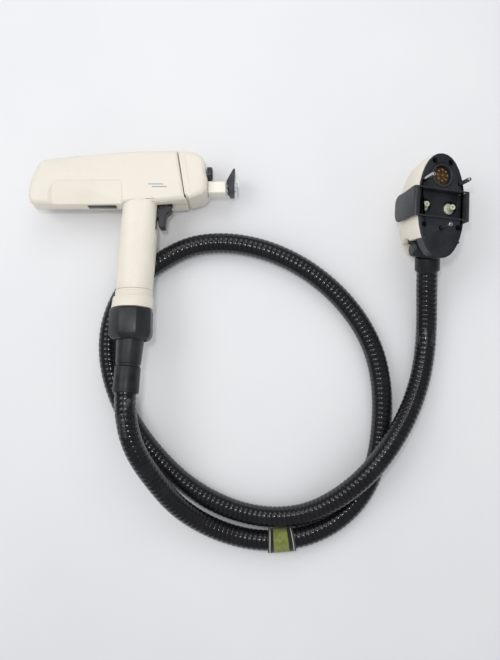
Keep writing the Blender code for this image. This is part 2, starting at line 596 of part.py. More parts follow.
def make_gland(hand):
    """Octagonal nut, tapered body with its groove, seal and the sleeve on the hose."""
    across = NUT_FLATS / 2 / cos(pi / 8)
    place = Matrix.Translation((GLAND_X - 0.7, 0, MIDDLE))
    turned = [radians(22.5 + NUT_TURN + 45 * i) for i in range(8)]
    rings = []
    shape = ((NUT_TOP, 0.94), (NUT_TOP - 1.8, 1.0), (NUT_FOOT + 6.4, 1.0))
    shape += ((NUT_FOOT + 3.2, 0.95), (NUT_FOOT + 1.0, 0.88), (NUT_FOOT, 0.82))
    for y, share in shape:
        reach = across * share
        rings.append([place @ Vector((reach * cos(a), y, reach * sin(a))) for a in turned])
    nut = add_object("gland_nut", bm_loft(rings), "black_plastic", hand)
    bore = bm_turned([(0, 0), (15.2, 0), (15.2, 50), (0, 50)], (GLAND_X, -210, MIDDLE), "Y", 24)
    boolean(nut, add_object("nut_bore", bore, None, hand), "DIFFERENCE")
    axis = empty("gland_axis", (GLAND_X, GLAND_MIDDLE, MIDDLE), (0, 0, GLAND_LEAN), hand)
    body = [(14.0, 13.5), (14.0, -15), (13.75, -16), (12.75, -38.2), (11.9, -38.6), (11.9, -41.2)]
    body += [(GLAND_BORE, -41.2), (GLAND_BORE, 13.5)]
    add_object("gland_body", bm_turned(body, (0, 0, 0), "Y", 28, closed=True), "black_plastic", axis)
    seal = [(GLAND_BORE, -167.6), (13.8, -167.6), (13.8, -165.8), (GLAND_BORE, -165.8)]
    add_object("gland_seal", bm_turned(seal, (GLAND_X, 0, MIDDLE), "Y", 24, closed=True), "soft_black", hand)
    sleeve = [(11.5, -41.6), (12.8, -41.6), (13.0, -42.4), (13.1, -67.0), (12.7, -67.6), (11.5, -67.6)]
    add_object("hose_sleeve", bm_turned(sleeve, (0, 0, 0), "Y", 28, closed=True), "soft_black", axis)


# ---- hose ------------------------------------------------------------------

def frame_on(name, start, end, share):
    """A frame on the line from start to end, its X axis along it."""
    start, end = Vector(start), Vector(end)
    frame = empty(name, start.lerp(end, share))
    frame.rotation_euler = (end - start).to_track_quat("X", "Z").to_euler()
    return frame


def make_hose():
    """The hose with its colour strap; returns the frame at its connector end."""
    route = smooth_route(HOSE_ROUTE, HOSE_STEP)
    tube("hose", route, HOSE_RADIUS, "hose_black", None, 3)
    place = frame_on("strap_place", route[STRAP_INDEX], route[STRAP_INDEX + 1], 0.5)
    half = STRAP_WIDTH / 2
    band = [(11.7, -half), (12.6, -half), (12.8, 0.5 - half), (12.8, half - 0.5), (12.6, half), (11.7, half)]
    add_object("hose_strap", bm_turned(band, (0, 0, 0), "X", 28, closed=True), "strap_green", place)
    return frame_on("hose_end", route[-2], route[-1], 1.0)


# ---- connector -------------------------------------------------------------

def ring_at(half_x, half_y, z):
    return [(x, y, z) for x, y in oval(half_x, half_y)]


def make_plug_shell(plug):
    """Cream cup behind the face, hollow, with a stepped seat for it."""
    x, y = FACE_HALF
    shape = ((-PLATE - GAP, -0.3, -0.3), (-5, 0.7, 0.7), (-18, 1.6, 1.4), (-36, 0, -1))
    shape += ((-50, -4.6, -7.0), (-59, -10.0, -14), (-64.6, -16.6, -24))
    rings = [ring_at(x + dx, y + dy, z) for z, dx, dy in shape]
    shell = add_object("plug_shell", bm_loft(rings), "housing_cream", plug)
    seat = [ring_at(x - STEP_IN + GAP, y - STEP_IN + GAP, z) for z in (2, -FACE_DEPTH - GAP)]
    boolean(shell, add_object("face_seat", bm_loft(seat), None, plug), "DIFFERENCE")
    room = [ring_at(22.5, 49.5, -12), ring_at(22.5, 49.5, -32), ring_at(17, 42, -45), ring_at(8.5, 32, -54)]
    boolean(shell, add_object("plug_room", bm_loft(room), None, plug), "DIFFERENCE")
    return shell


def make_plug_face(plug):
    """Black face plate with the pocket, the wells and the holes."""
    x, y = FACE_HALF
    levels = ((-FACE_DEPTH, STEP_IN), (-PLATE, STEP_IN), (-PLATE, 0), (-0.7, 0), (0, 0.7))
    face = bm_loft([ring_at(x - inwards, y - inwards, z) for z, inwards in levels])
    face = add_object("plug_face", face, "face_black", plug)
    x, low, high, depth = POCKET
    cuts = {
        "pocket": bm_box((-x, low, -depth), (x, high, 3)),
        "socket_well": bm_cylinders(((0, SOCKET_Y),), 12.6, -11, 3, 32),
        "nipple_wells": bm_cylinders(NIPPLE_PLACES, 7.6, -13.1, 0, 24),
        "pin_holes": bm_cylinders(PIN_PLACES, 2.45, -2.2, 3, 16),
        "screw_wells": bm_cylinders(SCREW_PLACES, 3.0, -7, 3, 16),
        "screw_holes": bm_cylinders(SCREW_PLACES, 1.6, -20, -3, 12),
    }
    for name, bm in cuts.items():
        boolean(face, add_object(name, bm, None, plug), "DIFFERENCE")


def make_bracket(plug):
    """U-shaped sheet frame across the face, its two wings folded back beside the shell."""
    top, thick, fold = 1.5, 1.2, 2.5
    reach, inner = WING_REACH, WING_REACH - thick
    channel = [(-reach, -WING_DEPTH), (-inner, -WING_DEPTH), (-inner, top - thick), (inner, top - thick)]
    channel += [(inner, -WING_DEPTH), (reach, -WING_DEPTH)]
    channel += arc((reach - fold, top - fold), fold, 0, 90, 3)
    channel += arc((fold - reach, top - fold), fold, 90, 180, 3)
    bracket = bm_prism(channel, -20, 20, axis="Y")
    bracket = add_object("plug_bracket", bracket, "bracket_black", plug)
    side = [(-13.4, 3), (-13.4, -26)] + arc((-3.4, -30), 10, 180, 270, 4)
    side += arc((6.5, -31.5), 8.5, 270, 360, 4)
    side += [(15.0, -20), (16.5, -4), (16.5, 3)]
    side = add_object("bracket_outline", bm_prism(side, -40, 40, axis="X"), None, plug)
    boolean(bracket, side, "INTERSECT")
    x, low, high = POCKET[0] + WINDOW_MARGIN, POCKET[1], POCKET[2]
    window = add_object("bracket_window", bm_box((-x, low, -1), (x, high, 4)), None, plug)
    boolean(bracket, window, "DIFFERENCE")


def make_plug_fittings(plug):
    """Water nipples, guide pins, screws and the round contact socket."""
    for number, place in enumerate(NIPPLE_PLACES, 1):
        profile = [(0, -12.8), (5.6, -12.8), (5.6, -11.4), (4.4, -10.6), (2.9, -10.2), (2.9, -4.0)]
        profile += [(2.5, -3.4), (1.3, -3.4), (1.3, -9.5), (0, -9.5)]
        add_object(f"water_nipple_{number}", bm_turned(profile, (*place, 0), "Z", 18), "nipple_white", plug)
    for number, place in enumerate(PIN_PLACES, 1):
        profile = [(0, -1.9), (2.1, -1.9), (2.1, 15.4), (1.8, 16.6), (1.0, 17.2), (0, 17.3)]
        add_object(f"guide_pin_{number}", bm_turned(profile, (*place, 0), "Z", 16), "steel", plug)
    for number, place in enumerate(SCREW_PLACES, 1):
        profile = [(0, -4.4), (2.3, -4.4), (2.6, -4.7), (2.6, -6.7), (1.3, -6.7), (1.3, -13.2)]
        profile += [(0, -13.2)]
        screw = add_object(f"face_screw_{number}", bm_turned(profile, (*place, 0), "Z", 14), "steel", plug)
        socket = bm_cylinders((place,), 1.25, -5.6, 0, 6)
        boolean(screw, add_object(f"hex_socket_{number}", socket, None, plug), "DIFFERENCE")
    ring = [(9.6, -10.6), (12.2, -10.6), (12.2, -0.2), (11.7, 0.3), (10.0, 0.3), (9.6, -0.2)]
    ring = bm_turned(ring, (0, SOCKET_Y, 0), "Z", 32, closed=True)
    add_object("contact_socket", ring, "black_plastic", plug)
    insert = [(0, -10.6), (9.2, -10.6), (9.2, -4.4), (8.8, -4.0), (0, -4.0)]
    insert = bm_turned(insert, (0, SOCKET_Y, 0), "Z", 28)
    insert = add_object("contact_insert", insert, "contact_brown", plug)
    contacts = [(0, SOCKET_Y)] + arc((0, SOCKET_Y), 5.6, 0, 315, 7)
    pins = add_object("contact_pins", bm_cylinders(contacts, 0.95, -5, -1.2, 8), None, plug)
    boolean(insert, pins, "UNION")


def make_plug_tail(tail, shell):
    """Sleeve on the hose and the elbow, with its clamp boss, that turns it into the shell."""
    end, start = SLEEVE_END, SLEEVE_END - SLEEVE_LENGTH
    sleeve = [(11.6, start), (12.4, start), (SLEEVE_RADIUS, start + 0.5), (SLEEVE_RADIUS, end - 0.5)]
    sleeve += [(12.3, end), (11.6, end)]
    add_object("plug_sleeve", bm_turned(sleeve, (0, 0, 0), "X", 28, closed=True), "soft_black", tail)
    elbow = [(0, 5.0), (10.8, 5.0), (11.6, 5.8), (11.6, 17), (10.6, 18), (0, 18)]
    elbow = add_object("plug_elbow", bm_turned(elbow, (0, 0, 0), "X", 24), "black_plastic", tail)
    lean = Euler((radians(-82), 0, radians(-16))).to_matrix().to_4x4()
    lean = Matrix.Translation((11.5, 4.0, 1.5)) @ lean
    for name, radius, length in (("clamp_boss", 8.2, 14.2), ("clamp_room", 8.8, 40.0)):
        profile = [(0, -6), (radius, -6), (radius, length - 1.2), (radius - 1.2, length), (0, length)]
        bm = bm_turned(profile, (0, 0, 0), "Z", 20)
        bm.transform(lean)
        if name == "clamp_boss":
            boolean(elbow, add_object(name, bm, None, tail), "UNION")
        else:
            boolean(shell, add_object(name, bm, None, tail), "DIFFERENCE")
    for name, radius, low, high in (("elbow_room", 12.3, -25, 18.7), ("sleeve_room", 14.0, -30, 5.4)):
        bm = bm_turned([(0, low), (radius, low), (radius, high), (0, high)], (0, 0, 0), "X", 24)
        boolean(shell, add_object(name, bm, None, tail), "DIFFERENCE")
    boolean(shell, add_object("shell_notch", bm_prism(SHELL_NOTCH, 18, 95), None, None), "DIFFERENCE")


def main():
    clear_scene()
    make_materials()
    hand = empty("applicator_frame", HAND_PLACE, (-HAND_TILT, 0, 0))
    make_housing(hand)
    make_nose(hand)
    make_nozzle(hand)
    make_knob(hand)
    make_trigger(hand)
    make_switch(hand)
    make_light_engine(hand)
    make_electronics(hand)
    make_screws(hand)
    make_label(hand)
    make_collar(hand)
    make_gland(hand)
    tail = make_hose()
    plug = empty("connector_frame", PLUG_PLACE, PLUG_TURN)
    shell = make_plug_shell(plug)
    make_plug_face(plug)
    make_bracket(plug)
    make_plug_fittings(plug)
    make_plug_tail(tail, shell)


main()
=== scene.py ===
import json
import math
import random
import bmesh
import bpy
import numpy as np
from mathutils import Euler, Matrix, Vector


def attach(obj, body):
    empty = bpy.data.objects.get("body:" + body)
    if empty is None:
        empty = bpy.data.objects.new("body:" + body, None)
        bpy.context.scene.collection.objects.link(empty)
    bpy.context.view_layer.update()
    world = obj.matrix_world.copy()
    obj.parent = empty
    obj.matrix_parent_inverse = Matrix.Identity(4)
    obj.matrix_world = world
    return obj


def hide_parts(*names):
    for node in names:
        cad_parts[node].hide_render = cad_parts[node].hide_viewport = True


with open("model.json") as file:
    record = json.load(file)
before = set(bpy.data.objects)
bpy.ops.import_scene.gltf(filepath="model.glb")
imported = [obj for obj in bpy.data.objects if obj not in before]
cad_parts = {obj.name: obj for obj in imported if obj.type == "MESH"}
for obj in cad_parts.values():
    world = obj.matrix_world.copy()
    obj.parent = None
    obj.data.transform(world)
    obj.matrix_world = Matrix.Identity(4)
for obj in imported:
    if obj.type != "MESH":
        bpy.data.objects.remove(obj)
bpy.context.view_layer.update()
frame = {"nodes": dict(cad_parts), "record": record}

# Pulsed-light applicator on its hose, with the oval connector, laid out on a pale table.
mm = 0.001
root = "applicator"
print("frame loaded:", len(frame["nodes"]), "parts")


# small helpers

def deselectAll():
    if bpy.context.mode != "OBJECT":
        bpy.ops.object.mode_set(mode="OBJECT")
    bpy.ops.object.select_all(action="DESELECT")


def selectOnly(piece):
    deselectAll()
    piece.select_set(True)
    bpy.context.view_layer.objects.active = piece


def applyModifiers(piece):
    selectOnly(piece)
    for modifier in list(piece.modifiers):
        bpy.ops.object.modifier_apply(modifier=modifier.name)


def smoothByAngle(piece, degrees):
    selectOnly(piece)
    bpy.ops.object.shade_smooth_by_angle(angle=math.radians(degrees))


def newMesh(name, bm):
    mesh = bpy.data.meshes.new(name)
    bm.to_mesh(mesh)
    bm.free()
    piece = bpy.data.objects.new(name, mesh)
    bpy.context.scene.collection.objects.link(piece)
    return piece


def dress(piece, finish):
    piece.data.materials.clear()
    piece.data.materials.append(finish)
    return piece


# camera and light

cameraSetup = {"place": (0.12075, -0.0609, 0.66), "lens": 32.727, "sensor": 36, "near": 0.01}


def setCamera():
    lens = bpy.data.cameras.new("viewCamera")
    lens.lens = cameraSetup["lens"]
    lens.sensor_width = cameraSetup["sensor"]
    lens.clip_start = cameraSetup["near"]
    camera = bpy.data.objects.new("viewCamera", lens)
    camera.location = cameraSetup["place"]
    bpy.context.scene.collection.objects.link(camera)
    bpy.context.scene.camera = camera


lightSetup = {
    "world": (0.98, 0.985, 1.0), "worldPower": 0.68, "worldShine": 0.2, "aim": (0.1, -0.05, 0.02),
    "flash": {"place": (0.07, 0.03, 0.74), "size": 0.06, "power": 0.9},
    "key": {"place": (-0.75, 0.35, 1.15), "size": 0.8, "power": 4.0},
    "window": {"place": (0.2, 0.75, 0.85), "size": 0.7, "power": 1.9},
}


def addLight(name, place, size, power):
    light = bpy.data.lights.new(name, "AREA")
    light.shape = "DISK"
    light.size = size
    light.energy = power
    lamp = bpy.data.objects.new(name, light)
    lamp.location = place
    aim = Vector(lightSetup["aim"]) - Vector(place)
    lamp.rotation_euler = aim.to_track_quat("-Z", "Y").to_euler()
    bpy.context.scene.collection.objects.link(lamp)


def setLight():
    world = bpy.data.worlds.new("softRoom")
    world.use_nodes = True
    sky = world.node_tree.nodes["Background"]
    sky.inputs["Color"].default_value = (*lightSetup["world"], 1)
    rays = world.node_tree.nodes.new("ShaderNodeLightPath")
    power = addRange(world.node_tree, rays.outputs["Is Glossy Ray"], lightSetup["worldPower"],
                     lightSetup["worldShine"], 0, 1)  # the room is darker than the lit table in reflections
    world.node_tree.links.new(power, sky.inputs["Strength"])
    bpy.context.scene.world = world
    for name in ("flash", "key", "window"):
        addLight(name + "Light", **lightSetup[name])
    bpy.context.scene.view_settings.view_transform = "Standard"


# finishes

def startFinish(name):
    finish = bpy.data.materials.new(name)
    finish.use_nodes = True
    tree = finish.node_tree
    shader = tree.nodes["Principled BSDF"]
    place = tree.nodes.new("ShaderNodeTexCoord")
    return finish, tree, shader, place.outputs["Object"]


def addNoise(tree, where, scale, detail=3.0, stretch=None):
    noise = tree.nodes.new("ShaderNodeTexNoise")
    noise.inputs["Scale"].default_value = scale
    noise.inputs["Detail"].default_value = detail
    if stretch:
        mapping = tree.nodes.new("ShaderNodeMapping")
        mapping.inputs["Scale"].default_value = stretch
        tree.links.new(where, mapping.inputs["Vector"])
        where = mapping.outputs["Vector"]
    tree.links.new(where, noise.inputs["Vector"])
    return noise.outputs["Fac"]


def addRamp(tree, factor, stops):
    ramp = tree.nodes.new("ShaderNodeValToRGB")
    ramp.color_ramp.elements[0].position = stops[0][0]
    ramp.color_ramp.elements[0].color = (*stops[0][1], 1)
    ramp.color_ramp.elements[1].position = stops[-1][0]
    ramp.color_ramp.elements[1].color = (*stops[-1][1], 1)
    for position, colour in stops[1:-1]:
        ramp.color_ramp.elements.new(position).color = (*colour, 1)
    tree.links.new(factor, ramp.inputs["Fac"])
    return ramp.outputs["Color"]


def addRange(tree, factor, low, high, fromLow=0.3, fromHigh=0.7):
    spread = tree.nodes.new("ShaderNodeMapRange")
    spread.inputs["From Min"].default_value = fromLow
    spread.inputs["From Max"].default_value = fromHigh
    spread.inputs["To Min"].default_value = low
    spread.inputs["To Max"].default_value = high
    tree.links.new(factor, spread.inputs["Value"])
    return spread.outputs["Result"]


def addMix(tree, blend, factor, first, second):
    mix = tree.nodes.new("ShaderNodeMix")
    mix.data_type = "RGBA"
    mix.blend_type = blend
    if isinstance(factor, float):
        mix.inputs["Factor"].default_value = factor
    else:
        tree.links.new(factor, mix.inputs["Factor"])
    for socket, value in ((mix.inputs[6], first), (mix.inputs[7], second)):
        if isinstance(value, tuple):
            socket.default_value = (*value, 1)
        else:
            tree.links.new(value, socket)
    return mix.outputs[2]


def addBump(tree, shader, layers):
    last = None
    for height, strength, distance in layers:
        bump = tree.nodes.new("ShaderNodeBump")
        bump.inputs["Strength"].default_value = strength
        bump.inputs["Distance"].default_value = distance
        tree.links.new(height, bump.inputs["Height"])
        if last:
            tree.links.new(last, bump.inputs["Normal"])
        last = bump.outputs["Normal"]
    tree.links.new(last, shader.inputs["Normal"])


finishSetup = {
    "creamShell": {"light": (0.81, 0.765, 0.665), "dark": (0.765, 0.71, 0.605), "rough": (0.34, 0.46),
                   "patch": 14, "grain": 2600, "grainDepth": 0.00004, "specular": 0.45},
    "creamNose": {"light": (0.815, 0.77, 0.67), "dark": (0.775, 0.72, 0.615), "rough": (0.32, 0.42),
                  "patch": 18, "grain": 2600, "grainDepth": 0.00004, "specular": 0.45},
    "snoutCream": {"light": (0.93, 0.89, 0.79), "dark": (0.88, 0.83, 0.72), "rough": (0.38, 0.5),
                   "patch": 40, "grain": 2200, "grainDepth": 0.00004, "specular": 0.4},
    "blackPlastic": {"light": (0.036, 0.037, 0.041), "dark": (0.020, 0.020, 0.023), "rough": (0.3, 0.46),
                     "patch": 60, "grain": 1800, "grainDepth": 0.00006, "specular": 0.5},
    "glandBlack": {"light": (0.024, 0.0255, 0.028), "dark": (0.014, 0.015, 0.017), "rough": (0.32, 0.5),
                   "patch": 45, "grain": 1500, "grainDepth": 0.00008, "specular": 0.5},
    "softBlack": {"light": (0.022, 0.023, 0.025), "dark": (0.012, 0.012, 0.014), "rough": (0.34, 0.5),
                  "patch": 70, "grain": 1500, "grainDepth": 0.00008, "specular": 0.35},
    "faceBlack": {"light": (0.022, 0.026, 0.031), "dark": (0.013, 0.015, 0.019), "rough": (0.34, 0.5),
                  "patch": 60, "grain": 1700, "grainDepth": 0.00009, "specular": 0.45},
    "screwBlack": {"light": (0.008, 0.008, 0.009), "dark": (0.004, 0.004, 0.005), "rough": (0.6, 0.8),
                   "patch": 200, "grain": 1500, "grainDepth": 0.00004, "specular": 0.15},
    "emblemGrey": {"light": (0.30, 0.36, 0.44), "dark": (0.22, 0.27, 0.34), "rough": (0.4, 0.55),
                   "patch": 220, "grain": 2200, "grainDepth": 0.00002, "specular": 0.4},
    "nippleWhite": {"light": (0.66, 0.69, 0.52), "dark": (0.50, 0.53, 0.38), "rough": (0.22, 0.34),
                    "patch": 160, "grain": 1900, "grainDepth": 0.00003, "specular": 0.5},
    "contactBrown": {"light": (0.11, 0.055, 0.022), "dark": (0.045, 0.022, 0.010), "rough": (0.3, 0.45),
                     "patch": 220, "grain": 1500, "grainDepth": 0.00005, "specular": 0.5},
    "ceramicWhite": {"light": (0.80, 0.79, 0.74), "dark": (0.70, 0.68, 0.62), "rough": (0.5, 0.65),
                     "patch": 90, "grain": 1200, "grainDepth": 0.00006, "specular": 0.4},
    "boardGreen": {"light": (0.03, 0.17, 0.08), "dark": (0.014, 0.09, 0.045), "rough": (0.3, 0.4),
                   "patch": 120, "grain": 900, "grainDepth": 0.00004, "specular": 0.5},
    "milkyTube": {"light": (0.66, 0.70, 0.70), "dark": (0.55, 0.60, 0.62), "rough": (0.2, 0.32),
                  "patch": 60, "grain": 900, "grainDepth": 0.00003, "specular": 0.5},
}


def plasticFinish(name):
    setup = finishSetup[name]
    finish, tree, shader, where = startFinish(name)
    patches = addNoise(tree, where, setup["patch"], 5)
    colour = addRamp(tree, patches, ((0.34, setup["dark"]), (0.56, setup["light"]), (0.8, setup["light"])))
    specks = addNoise(tree, where, setup["grain"] * 0.5, 2)
    shade = addRange(tree, specks, 0.93, 1.0, 0.25, 0.5)
    combine = tree.nodes.new("ShaderNodeCombineColor")
    for channel in ("Red", "Green", "Blue"):
        tree.links.new(shade, combine.inputs[channel])
    colour = addMix(tree, "MULTIPLY", 1.0, colour, combine.outputs["Color"])
    tree.links.new(colour, shader.inputs["Base Color"])
    smears = addNoise(tree, where, setup["patch"] * 2.6, 4, (1, 0.35, 1))
    tree.links.new(addRange(tree, smears, *setup["rough"]), shader.inputs["Roughness"])
    shader.inputs["Specular IOR Level"].default_value = setup["specular"]
    grain = addNoise(tree, where, setup["grain"], 2)
    addBump(tree, shader, ((grain, 0.35, setup["grainDepth"]),))
    return finish


metalSetup = {
    "turnedSteel": {"light": (0.66, 0.67, 0.69), "dark": (0.42, 0.43, 0.45), "rough": (0.2, 0.36),
                    "stretch": (1, 1, 9), "metal": 1.0},
    "bracketDark": {"light": (0.065, 0.07, 0.077), "dark": (0.035, 0.038, 0.043), "rough": (0.3, 0.5),
                    "stretch": (6, 1, 6), "metal": 0.5},
    "contactGold": {"light": (0.92, 0.68, 0.34), "dark": (0.66, 0.44, 0.18), "rough": (0.2, 0.32),
                    "stretch": (1, 1, 4), "metal": 1.0},
}


def metalFinish(name):
    setup = metalSetup[name]
    finish, tree, shader, where = startFinish(name)
    streaks = addNoise(tree, where, 420, 4, setup["stretch"])
    colour = addRamp(tree, streaks, ((0.3, setup["dark"]), (0.7, setup["light"])))
    tree.links.new(colour, shader.inputs["Base Color"])
    tree.links.new(addRange(tree, streaks, *setup["rough"]), shader.inputs["Roughness"])
    shader.inputs["Metallic"].default_value = setup["metal"]
    fine = addNoise(tree, where, 1800, 2, setup["stretch"])
    addBump(tree, shader, ((fine, 0.3, 0.00003),))
    return finish


glassSetup = {"colour": (0.96, 0.975, 0.98), "edge": (0.90, 0.925, 0.93), "clear": 0.96, "bend": 1.2,
              "patch": 60, "ripple": 240, "rough": (0.03, 0.12)}


def glassFinish(name):
    finish, tree, shader, where = startFinish(name)
    cloud = addNoise(tree, where, glassSetup["patch"], 3)
    colour = addRamp(tree, cloud, ((0.35, glassSetup["edge"]), (0.7, glassSetup["colour"])))
    tree.links.new(colour, shader.inputs["Base Color"])
    tree.links.new(addRange(tree, cloud, *glassSetup["rough"]), shader.inputs["Roughness"])
    shader.inputs["Transmission Weight"].default_value = glassSetup["clear"]
    shader.inputs["IOR"].default_value = glassSetup["bend"]
    ripple = addNoise(tree, where, glassSetup["ripple"], 2)
    addBump(tree, shader, ((ripple, 0.15, 0.00004),))
    return finish


# The groove colour is darker than the crest colour: painted shade in the hose's grooves between the ribs.
hoseLook = {"crest": (0.010, 0.0105, 0.0125), "groove": (0.0045, 0.0045, 0.005),
            "dust": (0.032, 0.034, 0.038), "dustPatch": 55, "wearPatch": 130, "grain": 1400,
            "rough": (0.13, 0.24), "specular": 0.55}


def hoseFinish(name):
    finish, tree, shader, where = startFinish(name)
    depth = tree.nodes.new("ShaderNodeAttribute")
    depth.attribute_name = "ribHeight"
    # rib height picks the colour: the grooves get the darker colour as painted shade, the crests the lighter
    # one
    base = addRamp(tree, depth.outputs["Fac"], ((0.15, hoseLook["groove"]), (0.9, hoseLook["crest"])))
    dust = addRange(tree, addNoise(tree, where, hoseLook["dustPatch"], 6), 0.0, 0.3, 0.5, 0.75)
    colour = addMix(tree, "MIX", dust, base, hoseLook["dust"])
    tree.links.new(colour, shader.inputs["Base Color"])
    wear = addNoise(tree, where, hoseLook["wearPatch"], 4)
    tree.links.new(addRange(tree, wear, *hoseLook["rough"]), shader.inputs["Roughness"])
    shader.inputs["Specular IOR Level"].default_value = hoseLook["specular"]
    grain = addNoise(tree, where, hoseLook["grain"], 2)
    addBump(tree, shader, ((grain, 0.3, 0.00006),))
    return finish


strapLook = {"green": (0.235, 0.26, 0.055), "olive": (0.15, 0.17, 0.04), "border": (0.012, 0.012, 0.012),
             "line": (0.50, 0.51, 0.46), "edge": (0.035, 0.036, 0.034), "patch": 260, "threads": 420}


def strapFinish(name):  # woven band: a green field between dark borders, each with a pale line
    finish, tree, shader, where = startFinish(name)
    across = tree.nodes.new("ShaderNodeAttribute")
    across.attribute_name = "across"
    patches = addNoise(tree, where, strapLook["patch"], 4)
    field = addRamp(tree, patches, ((0.35, strapLook["olive"]), (0.65, strapLook["green"])))
    edge, line, border = strapLook["edge"], strapLook["line"], strapLook["border"]
    clear, full = (0,) * 3, (1,) * 3
    weave = addRamp(tree, across.outputs["Fac"], (
        (0.0, edge), (0.055, edge), (0.07, line), (0.085, line), (0.10, border), (0.90, border),
        (0.91, line), (0.925, line), (0.94, edge), (1.0, edge)))
    bands = addRamp(tree, across.outputs["Fac"], (
        (0.0, clear), (0.205, clear), (0.22, full), (0.745, full), (0.76, clear), (1.0, clear)))
    colour = addMix(tree, "MIX", bands, weave, field)
    tree.links.new(colour, shader.inputs["Base Color"])
    threads = tree.nodes.new("ShaderNodeTexWave")
    threads.bands_direction = "X"
    threads.inputs["Scale"].default_value = strapLook["threads"]
    threads.inputs["Distortion"].default_value = 1.2
    tree.links.new(where, threads.inputs["Vector"])
    tree.links.new(addRange(tree, threads.outputs["Fac"], 0.72, 0.9, 0, 1), shader.inputs["Roughness"])
    shader.inputs["Sheen Weight"].default_value = 0.25
    addBump(tree, shader, ((threads.outputs["Fac"], 0.5, 0.00015),))
    return finish


tapeLook = {"film": (0.42, 0.45, 0.46), "fold": (0.80, 0.83, 0.84), "cover": (0.0, 0.07),
            "rough": (0.08, 0.22), "patch": 170, "specular": 0.8}


def tapeFinish(name):  # clear film, so the ribs show through with pale streaks
    finish, tree, shader, where = startFinish(name)
    streaks = addNoise(tree, where, tapeLook["patch"], 3, (1, 0.16, 1))
    colour = addRamp(tree, streaks, ((0.4, tapeLook["film"]), (0.7, tapeLook["fold"])))
    tree.links.new(colour, shader.inputs["Base Color"])
    tree.links.new(addRange(tree, streaks, *tapeLook["cover"], 0.52, 0.74), shader.inputs["Alpha"])
    tree.links.new(addRange(tree, streaks, *tapeLook["rough"]), shader.inputs["Roughness"])
    shader.inputs["Specular IOR Level"].default_value = tapeLook["specular"]
    addBump(tree, shader, ((streaks, 0.25, 0.0003),))
    return finish


labelLook = {"plate": (0.025, 0.026, 0.028), "worn": (0.016, 0.016, 0.018), "rough": (0.3, 0.45)}


def labelFinish(name):
    finish, tree, shader, where = startFinish(name)
    cloud = addNoise(tree, where, 90, 4)
    colour = addRamp(tree, cloud, ((0.3, labelLook["worn"]), (0.7, labelLook["plate"])))
    tree.links.new(colour, shader.inputs["Base Color"])
    tree.links.new(addRange(tree, cloud, *labelLook["rough"]), shader.inputs["Roughness"])
    addBump(tree, shader, ((addNoise(tree, where, 1600, 2), 0.25, 0.00004),))
    return finish


floorLook = {"light": (0.84, 0.845, 0.855), "dark": (0.80, 0.805, 0.825), "rough": 0.85, "side": 6}


def floorFinish(name):
    finish, tree, shader, where = startFinish(name)
    cloud = addNoise(tree, where, 3.2, 5)
    colour = addRamp(tree, cloud, ((0.35, floorLook["dark"]), (0.65, floorLook["light"])))
    tree.links.new(colour, shader.inputs["Base Color"])
    shader.inputs["Roughness"].default_value = floorLook["rough"]
    addBump(tree, shader, ((addNoise(tree, where, 900, 3), 0.15, 0.00008),))
    return finish


finishes = {name: plasticFinish(name) for name in finishSetup}
finishes.update({name: metalFinish(name) for name in metalSetup})
finishes["clearGlass"] = glassFinish("clearGlass")
finishes["hoseBlack"] = hoseFinish("hoseBlack")
finishes["strapWeave"] = strapFinish("strapWeave")
finishes["clearTape"] = tapeFinish("clearTape")
finishes["labelBlack"] = labelFinish("labelBlack")
setCamera()
setLight()
print("camera, light and finishes ready:", len(finishes))


# hose

hoseSetup = {
    "crest": 10.9, "groove": 10.4, "pitch": 5.3, "sides": 32, "lowest": 10.95, "pathSteps": 316,
    "route": (
        (-0.0024, -0.101, 0.0561), (-0.0038, -0.124, 0.0598), (-0.0022, -0.153, 0.0613),
        (0.0054, -0.182, 0.057),
        (0.022, -0.213, 0.0465), (0.044, -0.244, 0.032), (0.073, -0.268, 0.0195), (0.110, -0.284, 0.0128),
        (0.151, -0.2875, 0.0134), (0.186, -0.281, 0.0119), (0.215, -0.266, 0.0111), (0.238, -0.243, 0.0111),
        (0.254, -0.212, 0.0111), (0.262, -0.172, 0.0111), (0.263, -0.127, 0.0111), (0.253, -0.080, 0.0111),
        (0.226, -0.035, 0.0111), (0.185, 0.002, 0.0111), (0.138, 0.025, 0.0111), (0.092, 0.033, 0.0111),
        (0.053, 0.0275, 0.0111), (0.023, 0.012, 0.0111), (-0.004, -0.008, 0.0111), (-0.022, -0.034, 0.0111),
        (-0.031, -0.066, 0.0111), (-0.030, -0.101, 0.0111), (-0.021, -0.133, 0.0111),
        (-0.006, -0.163, 0.0111),
        (0.016, -0.193, 0.0111), (0.046, -0.223, 0.0111), (0.088, -0.249, 0.0111), (0.135, -0.262, 0.0115),
        (0.180, -0.2575, 0.016), (0.217, -0.236, 0.027), (0.248, -0.206, 0.0346), (0.274, -0.172, 0.031),
        (0.294, -0.138, 0.0205), (0.306, -0.103, 0.0135), (0.3105, -0.068, 0.0125), (0.310, -0.039, 0.017),
        (0.308, -0.018, 0.024), (0.3068, -0.002, 0.0295), (0.306, 0.011, 0.0335),
    ),
    "exit": (-0.0038, -0.124, 0.0598),
}


